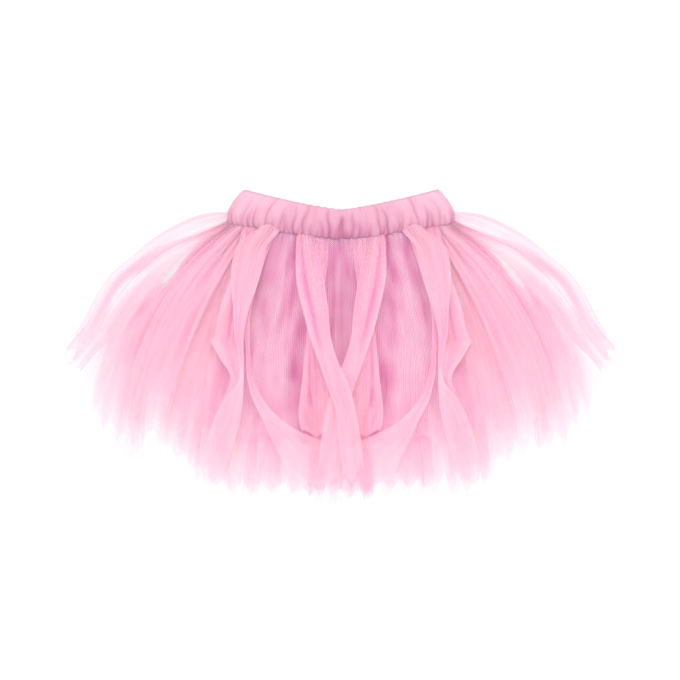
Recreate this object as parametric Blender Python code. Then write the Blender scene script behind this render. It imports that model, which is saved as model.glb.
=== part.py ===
"""A toddler's tulle tutu skirt, laid out flat on its back with the front up.

An elastic waistband casing, gathered all round, carries a front and a back base panel, and round them hang loose
strips of tulle, cut to points at the hem. The strips fan out from the waist seam and stand off each other in a low,
springy pile, and the lowest ones lie flat on the surface.

The frame: +X to the right as seen from above, +Y towards the waist, +Z up. The origin is under the middle of the
outline, on the surface that the skirt lies on. Tables and sizes are in millimetres; meshes are made in metres.
"""

import math

import bmesh
import bpy

MM = 0.001

# ---------------------------------------------------------------- driving sizes, in millimetres
SEAM_HALF_WIDTH = 112.0  # half the waistband along its lower edge, where the skirt is sewn on
SEAM_MIDDLE_Y = 106.0
SEAM_SIDE_RISE = 16.0  # the lower edge rises towards the sides
TOP_HALF_WIDTH = 95.5
TOP_MIDDLE_Y = 135.0
TOP_SIDE_RISE = 20.0
RISE_POWER = 1.25  # both edges rise more steeply the farther out they are

CLOTH = 1.0  # thickness of one strip or panel
SEAM_GAP = 0.5  # between the waistband and what is sewn to it
REACH = 255.0  # from the waist seam to the hem, along the cloth as it lies

PEAK_AT = 0.42  # where the pile is highest, as a share of REACH
HEM_SHARE = 0.5  # height of the pile at the hem, as a share of its highest

RUFFLE_PIVOT_Y = 200.0  # ruffles run along lines from this point above the waist
RUFFLES_PER_RADIAN = 8.6
RUFFLE_GROWTH = 1.5  # how slowly they rise from the gathers at the seam

PANEL_FAN = 0.8  # the widest fan line that the base panels reach
PANEL_LENGTH = 0.82  # their length, as a share of the fan's
PANEL_EDGE_WAVE = 0.015  # how unevenly they are cut, as a share of the same
PANEL_EDGE_WAVES = 9
STRIP_FAN = 0.86  # the widest fan line that the loose strips reach
STRIP_GAP = 0.012  # between neighbouring strips of one layer, in fan lines
STRIP_SPREAD = 0.028  # how far the strips between the panels spread over each other
SEAM_CROWDING = 1.15  # sections of the fanned cloth lie closer together near the seam

# Each layer's underside at the waist seam and at the fullest part of the pile, the height of its ruffles, and how
# far round they are shifted, in radians of one ruffle.
LAYERS = {
    #               seam   full   ruffle  shift
    "floor":       (0.0,   0.0,   0.0,    0.0),
    "back_panel":  (1.5,   3.4,   0.9,    0.0),
    "under_low":   (3.0,   9.4,   1.6,    0.4),
    "under_high":  (3.0,  15.4,   1.6,    0.8),
    "front_panel": (4.5,  21.6,   1.7,    1.2),
    "side_low":    (6.0,  27.6,   1.6,    1.6),
    "side_high":   (6.0,  33.2,   1.5,    2.0),
    "front_low":   (7.5,  38.8,   1.3,    2.4),
    "front_high":  (9.0,  44.0,   1.2,    2.8),
}

# Lines of the fan, from the middle (0) to the side (1): where each is sewn on, as a share of the seam, how it leaves
# the seam, in degrees from straight down, and where it meets the hem.
FAN = [
    # line   sewn on  leaves   hem x    hem y
    (0.00,   0.00,     0.0,     0.0,  -150.0),
    (0.20,   0.36,     6.0,    62.0,  -144.0),
    (0.40,   0.64,    16.0,   124.0,  -139.0),
    (0.55,   0.78,    34.0,   168.0,  -110.0),
    (0.70,   0.87,    54.0,   213.0,   -80.0),
    (0.82,   0.93,    68.0,   243.0,   -52.0),
    (0.92,   0.97,    80.0,   262.0,   -16.0),
    (1.00,   1.00,    88.0,   270.0,    10.0),
]
FAN_BEND = 0.5  # how far along it a line keeps the direction that it leaves in
END_SHARE = 0.93  # past this share of the seam the cloth is sewn to the waistband's end
END_HEIGHT = 12.0
END_BULGE = 1.6  # how far the band's end stands out past its lower edge, seam gap included


# ---------------------------------------------------------------- shape of the layout
def mix(a, b, share):
    return a + (b - a) * share


def seam_y(x):
    """The waistband's lower edge."""
    return SEAM_MIDDLE_Y + SEAM_SIDE_RISE * (abs(x) / SEAM_HALF_WIDTH) ** RISE_POWER


def top_y(x):
    """The waistband's upper edge."""
    return TOP_MIDDLE_Y + TOP_SIDE_RISE * (abs(x) / TOP_HALF_WIDTH) ** RISE_POWER


def table_curve(rows, at):
    """A smooth curve through rows whose first column is the place along it. Gives the other columns."""
    last = len(rows) - 2
    i = next((n for n in range(last) if at < rows[n + 1][0]), last)
    near = [rows[max(0, min(len(rows) - 1, n))] for n in (i - 1, i, i + 1, i + 2)]
    t = (at - near[1][0]) / (near[2][0] - near[1][0])
    found = []
    for a, b, c, d in list(zip(*near))[1:]:
        bend = (2 * a - 5 * b + 4 * c - d) * t**2 + (3 * b - a - 3 * c + d) * t**3
        found.append(0.5 * (2 * b + (c - a) * t + bend))
    return found


def seam_point(share):
    """A place where cloth is sewn on, from -1 to 1: along the band's lower edge, then up its end."""
    side, share = math.copysign(1.0, share), abs(share)
    corner = SEAM_HALF_WIDTH + END_BULGE
    x = corner * min(1.0, share / END_SHARE)
    up = max(0.0, share - END_SHARE) / (1 - END_SHARE)
    return side * x, seam_y(x) - SEAM_GAP + END_HEIGHT * up


def fan_point(line, along):
    """A point of the fan, at a share of a line's length. Lines run from -1 at the left to 1 at the right."""
    side = math.copysign(1.0, line)
    sewn, leaves, hx, hy = table_curve(FAN, abs(line))
    sx, sy = seam_point(sewn)
    bend = FAN_BEND * math.hypot(hx - sx, hy - sy)
    cx = sx + bend * math.sin(math.radians(leaves))
    cy = sy - bend * math.cos(math.radians(leaves))
    x = (1 - along) ** 2 * sx + 2 * along * (1 - along) * cx + along**2 * hx
    y = (1 - along) ** 2 * sy + 2 * along * (1 - along) * cy + along**2 * hy
    return side * x, y


SEAM_LINE = [seam_point(n / 40 - 1) for n in range(81)]


def reach_of(x, y):
    """How far a point lies from the waist seam, as a share of REACH."""
    nearest = REACH * 2
    for (ax, ay), (bx, by) in zip(SEAM_LINE, SEAM_LINE[1:]):
        dx, dy = bx - ax, by - ay
        t = max(0.0, min(1.0, ((x - ax) * dx + (y - ay) * dy) / (dx * dx + dy * dy)))
        nearest = min(nearest, math.hypot(x - ax - t * dx, y - ay - t * dy))
    return nearest / REACH


def puff(share):
    """Height of the springy pile at this share of the reach, from 0 at the seam to 1 at its fullest."""
    if share < PEAK_AT:
        return 1 - (1 - share / PEAK_AT) ** 2
    return 1 - (1 - HEM_SHARE) * ((share - PEAK_AT) / (1 - PEAK_AT)) ** 2


def height(layer, x, y):
    """Height of a layer's underside at a point of the layout, ruffles included."""
    seam, full, ruffle, shift = LAYERS[layer]
    share = reach_of(x, y)
    turn = math.atan2(x, RUFFLE_PIVOT_Y - y) * 2 * math.pi * RUFFLES_PER_RADIAN
    grown = min(1.0, share / PEAK_AT) ** RUFFLE_GROWTH
    return seam + (full - seam) * puff(share) + ruffle * grown * math.cos(turn + shift)


# ---------------------------------------------------------------- making solids
def material(name, colour, roughness):
    made = bpy.data.materials.new(name)
    made.use_nodes = True
    made.diffuse_color = (*colour, 1.0)
    shader = made.node_tree.nodes["Principled BSDF"]
    shader.inputs["Base Color"].default_value = (*colour, 1.0)
    shader.inputs["Roughness"].default_value = roughness
    shader.inputs["Metallic"].default_value = 0.0
    return made


def add_object(name, bm, finish):
    """A named object holding a bmesh, which is freed."""
    bmesh.ops.recalc_face_normals(bm, faces=bm.faces)
    mesh = bpy.data.meshes.new(name)
    bm.to_mesh(mesh)
    bm.free()
    mesh.materials.append(finish)
    mesh.shade_smooth()
    made = bpy.data.objects.new(name, mesh)
    bpy.context.scene.collection.objects.link(made)


def cloth_wall(rows):
    """A wall of cloth: a sheet through the rows of points, which are its underside, drawn up by its thickness."""
    bm = bmesh.new()
    grid = [[bm.verts.new((x * MM, y * MM, z * MM)) for x, y, z in row] for row in rows]
    sheet = []
    for near, far in zip(grid, grid[1:]):
        for a, b, c, d in zip(near, near[1:], far[1:], far):
            sheet.append(bm.faces.new((a, b, c, d)))
    drawn = bmesh.ops.extrude_face_region(bm, geom=sheet, use_keep_orig=True)
    lifted = [v for v in drawn["geom"] if isinstance(v, bmesh.types.BMVert)]
    bmesh.ops.translate(bm, verts=lifted, vec=(0.0, 0.0, CLOTH * MM))
    return bm


def on_layer(layer, plan_rows):
    """Plan points lifted to their layer's height."""
    return [[(x, y, height(layer, x, y)) for x, y in row] for row in plan_rows]


# ---------------------------------------------------------------- fanned strips and panels
def fan_rows(at_seam, at_hem, length, across, stations):
    """Rows of plan points between two lines of the fan, which may spread on the way. length(v) is the cut's length,
    as a share of the fan's, at share v of its width."""
    rows = []
    for i in range(stations + 1):
        down = (i / stations) ** SEAM_CROWDING
        near, far = mix(at_seam[0], at_hem[0], down), mix(at_seam[1], at_hem[1], down)
        rows.append([
            fan_point(mix(near, far, j / across), down * length(j / across))
            for j in range(across + 1)
        ])
    return rows


def pointed(longest, point_at, cut):
    """A strip's length across its width: longest at point_at, and shorter by cut at the farther edge."""
    return lambda v: longest - cut * abs(v - point_at) / max(point_at, 1 - point_at)


def shares(count, widest, gap):
    """Pairs of fan lines for count pieces side by side from -widest to widest, with a gap between neighbours."""
    step = 2 * widest / count
    return [(-widest + n * step + gap / 2, -widest + (n + 1) * step - gap / 2) for n in range(count)]


# ---------------------------------------------------------------- shaped strips
# Plan sections of the strips that lie on top, one row each from the seam to the tip, for the right half of the
# skirt. None puts an edge on the seam.
FALL = [  # the broad one beside each side of the front
    # inner x, y      outer x, y
    (62,  None,   85,  None),
    (74,    98,  102,   104),
    (77,    82,  109,    85),
    (83,    60,  110,    62),
    (91,    36,  107,    38),
    (96,    10,  105,    10),
    (96,   -14,  101,   -14),
    (96,   -36,  102,   -36),
    (98,   -60,  118,   -56),
    (104,  -88,  131,   -86),
    (114, -118,  139,  -120),
    (124, -146,  134,  -149),
]
ARROW = [  # shows past the fall strip's outer edge, where its fold turns back in a point
    (88,  None,  100,  None),
    (90,    82,  107,    84),
    (96,    60,  112,    62),
    (98,    40,  122,    41),
    (99,    21,  125,    20),
    (100,    5,  132,     3),
    (99,   -15,  122,   -17),
    (98,   -34,  113,   -33),
    (97,   -52,  119,   -50),
    (103,  -84,  130,   -82),
    (112, -114,  143,  -108),
    (124, -134,  150,  -124),
]
CROSS = [  # runs across the middle, so that the two of them make a narrow X
    (28,  None,   45,  None),
    (22,    86,   46,    88),
    (17,    62,   45,    63),
    (13,    36,   39,    37),
    (10,     8,   31,     8),
    (3,    -16,   22,   -18),
    (-7,   -38,   14,   -42),
    (-14,  -62,    6,   -66),
    (-20,  -98,    3,  -102),
    (-24, -140,   -6,  -154),
]
SWEEP = [  # comes out under the fall strip and sweeps in to the middle of the hem
    (66,  None,   80,  None),
    (76,    84,   92,    86),
    (84,    57,   98,    58),
    (90,    28,   98,    28),
    (90,    -4,   95,    -4),
    (87,   -28,   94,   -28),
    (78,   -53,   89,   -52),
    (58,   -77,   78,   -76),
    (36,   -94,   68,   -98),
    (13,  -114,   58,  -120),
    (3,   -137,   48,  -146),
]
LOOP = [  # a narrow one that comes out under the cross strip and tucks in under the sweep strip
    (12,  None,   26,  None),
    (14,    76,   28,    76),
    (18,    48,   32,    48),
    (23,    20,   33,    20),
    (27,    -2,   33,    -2),
    (29,   -18,   38,   -18),
    (29,   -36,   39,   -36),
    (31,   -56,   43,   -56),
    (34,   -72,   43,   -72),
    (35,   -88,   41,   -87),
]
WING = [  # the wide sheer one at the side
    (113.8, 120, 113.8, 126),
    (138,   103,  141,  111),
    (158,    85,  172,  103),
    (175,    66,  203,   88),
    (192,    47,  229,   73),
    (211,    25,  244,   46),
    (230,     3,  257,   22),
    (247,   -18,  270,    8),
    (266,   -30,  281,  -22),
]
CREST = [  # the narrow one along the top of the side
    (113.8, 128, 113.8, 134),
    (134,   121,  137,  131),
    (157,   108,  161,  121),
    (178,    94,  186,  105),
    (197,    78,  207,   89),
    (214,    58,  226,   73),
    (229,    36,  241,   52),
    (242,    14,  255,   26),
    (253,    -8,  268,   10),
]
EDGE_CURL = 1.0  # how far the long edges of these strips turn down


def shaped_rows(sections, side, across, stations):
    """Plan rows through a strip's sections, for side 1 (right) or -1 (left)."""
    placed = []
    for n, (ax, ay, bx, by) in enumerate(sections):
        if ay is None:
            ay, by = seam_y(ax) - SEAM_GAP, seam_y(bx) - SEAM_GAP
        placed.append((n / (len(sections) - 1), ax, ay, bx, by))
    rows = []
    for i in range(stations + 1):
        ax, ay, bx, by = table_curve(placed, i / stations)
        rows.append([(side * mix(ax, bx, j / across), mix(ay, by, j / across)) for j in range(across + 1)])
    return rows


def curled(rows):
    """Cloth rows with their long edges turned down, most of all halfway along."""
    found = []
    for i, row in enumerate(rows):
        curl = EDGE_CURL * math.sin(math.pi * i / (len(rows) - 1))
        n = len(row) - 1
        found.append([(x, y, z - curl * (2 * j / n - 1) ** 2) for j, (x, y, z) in enumerate(row)])
    return found


# ---------------------------------------------------------------- waistband
BAND_GATHERS = 24  # on the front
GATHER_DRIFT = [(0.012, 17.0, 0.0), (0.009, 31.0, 1.0)]  # amount, rate and start of their uneven spacing
POINTS_PER_GATHER = 4
BAND_BACK_COLUMNS = 16
BAND_MIDDLE_Z = 5.4
BAND_FOLD_SHARE = 0.965  # the fold at each end of the band starts here
BAND_HOLLOW_SHARE = 0.95  # how far the space between its front and back reaches
SLIT = 0.7  # the height of that space
# Sections of the casing from the seam up to the top edge.
BAND_SECTIONS = [
    # up    half width  front  back   gather
    (0.00,  112.0,      3.6,   3.9,   1.0),
    (0.14,  113.0,      4.6,   5.05,  1.2),
    (0.40,  111.5,      5.1,   5.05,  0.8),
    (0.70,  106.5,      4.9,   5.05,  0.55),
    (0.92,   99.5,      4.0,   5.05,  0.35),
    (1.00,   95.5,      2.4,   3.9,   0.15),
]


def band_plan(share, up, half_width):
    """A plan point of the band: share is from -1 to 1 across it, and up from 0 at the seam to 1 at the top edge."""
    return half_width * share, mix(seam_y(SEAM_HALF_WIDTH * share), top_y(TOP_HALF_WIDTH * share), up)


def gather_wave(share):
    """The band's gathers, closer in some places than in others."""
    drift = sum(amount * math.sin(rate * share + start) for amount, rate, start in GATHER_DRIFT)
    return math.cos(math.pi * BAND_GATHERS * (share + drift))


def band_columns():
    """Columns round the flattened band, as (share across, level from 1 on the front to -1 on the back)."""
    front = BAND_GATHERS * POINTS_PER_GATHER
    columns = [(mix(-BAND_FOLD_SHARE, BAND_FOLD_SHARE, n / front), 1.0) for n in range(front + 1)]
    turns = [math.pi * n / 4 for n in (1, 2, 3)]
    fold = [(mix(BAND_FOLD_SHARE, 1.0, math.sin(turn)), math.cos(turn)) for turn in turns]
    columns += fold
    for n in range(BAND_BACK_COLUMNS + 1):
        columns.append((mix(BAND_FOLD_SHARE, -BAND_FOLD_SHARE, n / BAND_BACK_COLUMNS), -1.0))
    columns += [(-share, level) for share, level in reversed(fold)]
    return columns


def band_ring(bm, up, half_width, depths):
    """A ring of points round the band. depths(share, level) is how far they are from its middle height."""
    ring = []
    for share, level in band_columns():
        x, y = band_plan(share, up, half_width)
        ring.append(bm.verts.new((x * MM, y * MM, (BAND_MIDDLE_Z + level * depths(share, level)) * MM)))
    return ring


def band_solid():
    """The casing as one ring of wall round a closed slit, with gathers on its upper side and a flat underside."""
    bm = bmesh.new()
    rings = []
    for up, half_width, front, back, gather in BAND_SECTIONS:
        def depth(share, level):
            full = front + gather * gather_wave(share)
            return SLIT / 2 + mix(back, full, max(0.0, level))
        rings.append(band_ring(bm, up, half_width, depth))
    for up, half_width, *_ in (BAND_SECTIONS[-1], BAND_SECTIONS[0]):
        rings.append(band_ring(bm, up, half_width * BAND_HOLLOW_SHARE, lambda share, level: SLIT / 2))
    for near, far in zip(rings, rings[1:] + rings[:1]):
        for n in range(len(near)):
            m = (n + 1) % len(near)
            bm.faces.new((near[n], near[m], far[m], far[n]))
    return bm


# ---------------------------------------------------------------- the skirt
def clear_scene():
    for old in list(bpy.data.objects):
        bpy.data.objects.remove(old, do_unlink=True)


def add_cloth(name, layer, plan_rows, finish):
    add_object(name, cloth_wall(on_layer(layer, plan_rows)), finish)


def add_panels(finish):
    """The gathered base panels, shorter than the strips, with a slightly wavy cut edge."""
    def length(v):
        return PANEL_LENGTH + PANEL_EDGE_WAVE * math.cos(2 * math.pi * PANEL_EDGE_WAVES * v)

    ends = (-PANEL_FAN, PANEL_FAN)
    add_cloth("back_panel", "back_panel", fan_rows(ends, ends, length, 40, 6), finish)
    add_cloth("front_panel", "front_panel", fan_rows(ends, ends, length, 76, 7), finish)


def add_back_strips(finish):
    """The strips that the skirt lies on, side by side."""
    for n, ends in enumerate(shares(9, STRIP_FAN, STRIP_GAP)):
        longest, point_at = ((0.99, 0.3), (0.97, 0.7))[n % 2]
        rows = fan_rows(ends, ends, pointed(longest, point_at, 0.09), 4, 5)
        add_cloth(f"back_strip_{n + 1:02d}", "floor", rows, finish)


def add_under_strips(finish):
    """The strips between the panels, every other one over its neighbours. Their tips show past the front panel."""
    for n, (near, far) in enumerate(shares(11, STRIP_FAN, STRIP_GAP)):
        point_at, layer = ((0.7, "under_high"), (0.3, "under_low"))[n % 2]
        cut = pointed(0.985 + 0.02 * math.cos(2.1 * n), point_at, 0.1)
        rows = fan_rows((near, far), (near - STRIP_SPREAD, far + STRIP_SPREAD), cut, 6, 7)
        add_cloth(f"under_strip_{n + 1:02d}", layer, rows, finish)


SIDE_STRIPS = [
    # at the seam    at the hem      length  point  layer
    ((0.44, 0.55),   (0.42, 0.57),   0.97,   0.4,   "side_low"),
    ((0.57, 0.68),   (0.53, 0.71),   1.00,   0.7,   "side_high"),
    ((0.70, 0.84),   (0.67, 0.86),   0.99,   0.3,   "side_low"),
]


def add_side_strips(side, word, finish):
    """The strips that lie over the front panel's side."""
    for n, (at_seam, at_hem, longest, point_at, layer) in enumerate(SIDE_STRIPS):
        edges = [tuple(side * line for line in pair) for pair in (at_seam, at_hem)]
        rows = fan_rows(*edges, pointed(longest, point_at, 0.11), 6, 8)
        add_cloth(f"side_strip_{n + 1}_{word}", layer, rows, finish)


def add_shaped_strips(side, word, finish):
    """The strips with a shape of their own. The left cross strip lies over the right one."""
    for name, sections, layer in (
        ("fall_strip", FALL, "front_high"),
        ("arrow_strip", ARROW, "front_low"),
        ("cross_strip", CROSS, "front_high" if side < 0 else "front_low"),
        ("sweep_strip", SWEEP, "side_high"),
        ("loop_strip", LOOP, "side_high"),
        ("wing_strip", WING, "front_low"),
        ("crest_strip", CREST, "front_high"),
    ):
        rows = on_layer(layer, shaped_rows(sections, side, 4, 13))
        add_object(f"{name}_{word}", cloth_wall(curled(rows)), finish)


def make_skirt():
    clear_scene()
    add_object("waistband", band_solid(), material("band_pink", (0.93, 0.50, 0.66), 0.75))
    add_panels(material("base_pink", (0.90, 0.42, 0.60), 0.8))
    strip_pink = material("strip_pink", (0.96, 0.62, 0.75), 0.7)
    add_back_strips(strip_pink)
    add_under_strips(strip_pink)
    for side, word in ((-1, "left"), (1, "right")):
        add_side_strips(side, word, strip_pink)
        add_shaped_strips(side, word, strip_pink)


make_skirt()
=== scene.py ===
import math

import bpy
import numpy as np
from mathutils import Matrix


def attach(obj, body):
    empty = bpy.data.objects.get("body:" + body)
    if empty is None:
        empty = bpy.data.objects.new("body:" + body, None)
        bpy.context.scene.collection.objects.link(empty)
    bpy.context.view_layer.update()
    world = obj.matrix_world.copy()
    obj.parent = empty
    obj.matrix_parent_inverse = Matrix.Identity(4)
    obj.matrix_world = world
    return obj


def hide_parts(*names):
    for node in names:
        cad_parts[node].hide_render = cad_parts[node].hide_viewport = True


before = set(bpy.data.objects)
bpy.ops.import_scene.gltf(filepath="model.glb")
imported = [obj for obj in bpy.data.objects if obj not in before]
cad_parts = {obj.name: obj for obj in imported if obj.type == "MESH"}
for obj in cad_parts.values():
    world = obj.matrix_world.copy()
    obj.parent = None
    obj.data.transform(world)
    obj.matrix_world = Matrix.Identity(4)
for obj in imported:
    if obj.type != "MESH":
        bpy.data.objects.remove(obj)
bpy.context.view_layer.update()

# ================================================================ camera, light and floor
# The skirt lies on a white table and is seen from straight above, with the waistband at the top. Broad white
# light comes from all round, with one soft lamp above the waist to bring out the folds.
EYE_PLACE = (-0.001, 0.005, 1.6256)
LENS = 85.0
SENSOR = 36.0
AROUND = (1.0, 1.0, 1.0, 1.0)
AROUND_STRENGTH = 1.48
LAMP_PLACE = (-0.1, 1.0, 1.4)
LAMP_SIZE = 0.8
LAMP_POWER = 12.0
BOUNCES = 3
CLEAR_LAYERS = 16
TABLE_SIZE = 30.0
TABLE_HEIGHT = -0.0006
TABLE_WHITE = (0.16, 0.16, 0.16, 1.0)
TABLE_GLOW = 0.80

eye_data = bpy.data.cameras.new("camera")
eye_data.lens = LENS
eye_data.sensor_width = SENSOR
eye = bpy.data.objects.new("camera", eye_data)
eye.location = EYE_PLACE
bpy.context.scene.collection.objects.link(eye)
bpy.context.scene.camera = eye

surroundings = bpy.data.worlds.new("white_room")
surroundings.use_nodes = True
surroundings.node_tree.nodes["Background"].inputs["Color"].default_value = AROUND
surroundings.node_tree.nodes["Background"].inputs["Strength"].default_value = AROUND_STRENGTH
bpy.context.scene.world = surroundings

lamp_data = bpy.data.lights.new("soft_lamp", "AREA")
lamp_data.shape = "DISK"
lamp_data.size = LAMP_SIZE
lamp_data.energy = LAMP_POWER
lamp = bpy.data.objects.new("soft_lamp", lamp_data)
lamp.location = LAMP_PLACE
lamp.rotation_euler = lamp.location.to_track_quat("Z", "Y").to_euler()
bpy.context.scene.collection.objects.link(lamp)

bpy.context.scene.view_settings.view_transform = "Standard"
bpy.context.scene.cycles.transparent_max_bounces = CLEAR_LAYERS
bpy.context.scene.cycles.diffuse_bounces = BOUNCES
bpy.context.scene.cycles.transmission_bounces = BOUNCES

bpy.ops.object.select_all(action="DESELECT")
bpy.ops.mesh.primitive_plane_add(size=TABLE_SIZE, location=(0.0, 0.0, TABLE_HEIGHT))
table_top = bpy.context.object
table_top.name = "table_top"
table_finish = bpy.data.materials.new("white_table")
table_finish.use_nodes = True
table_shader = table_finish.node_tree.nodes["Principled BSDF"]
table_shader.inputs["Base Color"].default_value = TABLE_WHITE
table_shader.inputs["Roughness"].default_value = 1.0
table_shader.inputs["Specular IOR Level"].default_value = 0.0
table_shader.inputs["Emission Color"].default_value = (1.0, 1.0, 1.0, 1.0)
table_shader.inputs["Emission Strength"].default_value = TABLE_GLOW
table_top.data.materials.append(table_finish)

# ================================================================ waistband
# A length of the same tulle, folded in several layers over an elastic to a casing and gathered all round. It
# lies flattened, front on back, and its gathers are deepest along the seam that holds the skirt. Sizes are in
# millimetres, and most shares run from 0 at the seam to 1 at the far edge.
MM = 0.001
SEAM_HALF_WIDTH = 112.0
SEAM_MIDDLE_Y = 106.0
SEAM_SIDE_RISE = 16.0
TOP_HALF_WIDTH = 95.5
TOP_MIDDLE_Y = 136.6
TOP_SIDE_RISE = 20.0
RISE_POWER = 1.25
BAND_MIDDLE_Z = 5.4
BAND_SLIT = 0.7
BAND_FOLD_SHARE = 0.965
BAND_WALL = 3.2  # how far the inside stops short of the folded ends
BAND_FRONT_COLUMNS = 520
BAND_BACK_COLUMNS = 130
BAND_FOLD_COLUMNS = 9
# The rows of the outside are closest by the seam and by the top edge.
BAND_ROWS = np.concatenate([
    np.linspace(0.0, 0.16, 9)[:-1],
    np.linspace(0.16, 0.9, 16),
    np.linspace(0.9, 1.0, 7)[1:],
])
BAND_INSIDE_ROWS = (1.0, 0.97, 0.8, 0.5, 0.2, 0.05, 0.0)
# Sections of the casing from the seam up to the top edge.
BAND_SECTIONS = [
    # up    half width  front  back
    (0.00,  114.2,      2.4,   3.6),
    (0.05,  114.8,      3.8,   4.6),
    (0.16,  115.2,      4.7,   5.05),
    (0.40,  113.8,      5.2,   5.05),
    (0.70,  108.0,      4.9,   5.05),
    (0.90,  102.3,      4.0,   5.05),
    (0.97,   99.6,      2.6,   4.2),
    (1.00,   98.0,      0.8,   2.2),
]
# Creases of the front, for both halves: how far out from the middle at the seam, how far up each one runs,
# how deep it is there and how wide.
BAND_CREASES = [
    # out    up     deep   wide
    (1.6,    0.80,  2.3,   2.2),
    (6.0,    0.35,  1.0,   1.6),
    (11.0,   1.00,  2.0,   2.0),
    (18.0,   0.60,  1.7,   2.6),
    (23.5,   0.26,  0.9,   1.4),
    (29.0,   0.42,  1.4,   2.2),
    (38.5,   1.30,  1.4,   1.7),
    (42.6,   0.36,  1.2,   1.2),
    (46.8,   1.00,  1.7,   1.8),
    (52.0,   0.32,  1.1,   1.3),
    (56.0,   0.62,  1.3,   1.6),
    (60.5,   0.82,  1.4,   2.4),
    (67.0,   0.46,  1.5,   1.6),
    (70.5,   0.28,  1.0,   1.2),
    (75.0,   1.50,  1.3,   1.8),
    (80.0,   0.30,  0.9,   1.4),
    (84.8,   0.72,  1.7,   2.0),
    (91.0,   0.56,  1.8,   1.8),
    (97.5,   0.90,  1.2,   2.4),
    (102.5,  0.36,  1.1,   1.5),
    (107.5,  0.50,  1.4,   1.9),
]
CREASE_LEAN = 3.2  # how far a crease leans sideways on its way up, at most
CREASE_SWAY = 0.7
CREASE_DEEPEST = 2.8
BAND_SWELL = 0.9  # how far the cloth between the creases stands out
BAND_SCALLOP = 1.5  # how far the gathers bulge over the seam
SCALLOP_UP = 0.14
BAND_WRINKLE = 0.16
BAND_UNEVEN = 0.3
BACK_GATHER = 0.25
TOP_EDGE_WAVE = 0.35
BAND_CELL = 0.0013  # the net's holes, in metres
BAND_FINE_STREAKS = (0.0018, 0.022)  # the band's uneven colour, across and along, in metres
BAND_BROAD_STREAKS = (0.011, 0.05)
BAND_LIGHT = (0.62, 0.36, 0.43)
# the deeper colour: painted shade in the creases, by the seam and round the folded ends, the deeper middle and
# the net's threads
BAND_DEEP = (0.38, 0.12, 0.22)
# a greyer colour along the top edge: a painted shade line
BAND_TOP_EDGE_SHADE = (0.40, 0.26, 0.32)


def mix(a, b, share):
    return a + (b - a) * share


def seam_y(x):
    """The waistband's lower edge."""
    return SEAM_MIDDLE_Y + SEAM_SIDE_RISE * (np.abs(x) / SEAM_HALF_WIDTH) ** RISE_POWER


def top_y(x):
    """The waistband's upper edge."""
    return TOP_MIDDLE_Y + TOP_SIDE_RISE * (np.abs(x) / TOP_HALF_WIDTH) ** RISE_POWER


def table_curve(rows, at):
    """A smooth curve through rows whose first column is the place along it. Gives the other columns."""
    table = np.array(rows, float)
    at = np.asarray(at, float)
    row = np.clip(np.searchsorted(table[:, 0], at, side="right") - 1, 0, len(table) - 2)
    a, b, c, d = (table[np.clip(row + step, 0, len(table) - 1)] for step in (-1, 0, 1, 2))
    t = ((at - b[..., 0]) / (c[..., 0] - b[..., 0]))[..., None]
    bend = (2 * a - 5 * b + 4 * c - d) * t**2 + (3 * b - a - 3 * c + d) * t**3
    curve = 0.5 * (2 * b + (c - a) * t + bend)
    return [curve[..., n] for n in range(1, table.shape[1])]


def ripple(seed, across, along, waves=(1.0, 4.0), drift=1.0):
    """Smooth unevenness from about -1 to 1: a few waves across the cloth, which wander along it."""
    rng = np.random.default_rng(seed)
    found = 0.0
    for _ in range(5):
        rate, slip, start = rng.uniform(*waves), rng.uniform(-drift, drift), rng.uniform(0, 2 * math.pi)
        found = found + np.sin(2 * math.pi * (rate * across + slip * along) + start)
    return found / 3


def cloth_object(name, points, cut, values, around=False):
    """A grid of cloth as an object. points are in millimetres by row and column, cut holds the places on the
    flat cloth in metres, and values are what the finish reads."""
    rows, columns = points.shape[:2]
    index = np.arange(rows * columns).reshape(rows, columns)
    corner = np.arange(cut.shape[0] * cut.shape[1]).reshape(cut.shape[:2])
    if around:
        index = np.hstack([index, index[:, :1]])
    quads, corners = (
        np.stack([grid[:-1, :-1], grid[1:, :-1], grid[1:, 1:], grid[:-1, 1:]], axis=-1).reshape(-1, 4)
        for grid in (index, corner)
    )
    mesh = bpy.data.meshes.new(name)
    mesh.from_pydata((points.reshape(-1, 3) * MM).tolist(), [], quads.tolist())
    flat = mesh.uv_layers.new(name="cut")
    flat.data.foreach_set("uv", cut.reshape(-1, 2)[corners.ravel()].astype(np.float32).ravel())
    for label, value in values.items():
        attribute = mesh.attributes.new(label, "FLOAT", "POINT")
        everywhere = np.broadcast_to(value, (rows, columns))
        attribute.data.foreach_set("value", everywhere.astype(np.float32).ravel())
    mesh.shade_smooth()
    made = bpy.data.objects.new(name, mesh)
    bpy.context.scene.collection.objects.link(made)
    return made


def node_kit(name):
    """A new material and short ways to add its nodes and link them."""
    finish = bpy.data.materials.new(name)
    finish.use_nodes = True
    tree = finish.node_tree
    tree.nodes.clear()

    def add(kind, settings=None, **inputs):
        node = tree.nodes.new(kind)
        for setting, value in (settings or {}).items():
            setattr(node, setting, value)
        for key, value in inputs.items():
            numbered = key[0] == "i" and key[1:].isdigit()
            socket = node.inputs[int(key[1:]) if numbered else key.replace("_", " ")]
            if isinstance(value, bpy.types.NodeSocket):
                tree.links.new(value, socket)
            else:
                socket.default_value = value
        return node

    return finish, add


def maths(add, operation, *values, clamp=False):
    """A sum with one or two values, each of which is a number or what another node gives."""
    settings = {"operation": operation, "use_clamp": clamp}
    numbered = {f"i{n}": value for n, value in enumerate(values)}
    return add("ShaderNodeMath", settings, **numbered).outputs[0]


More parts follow.
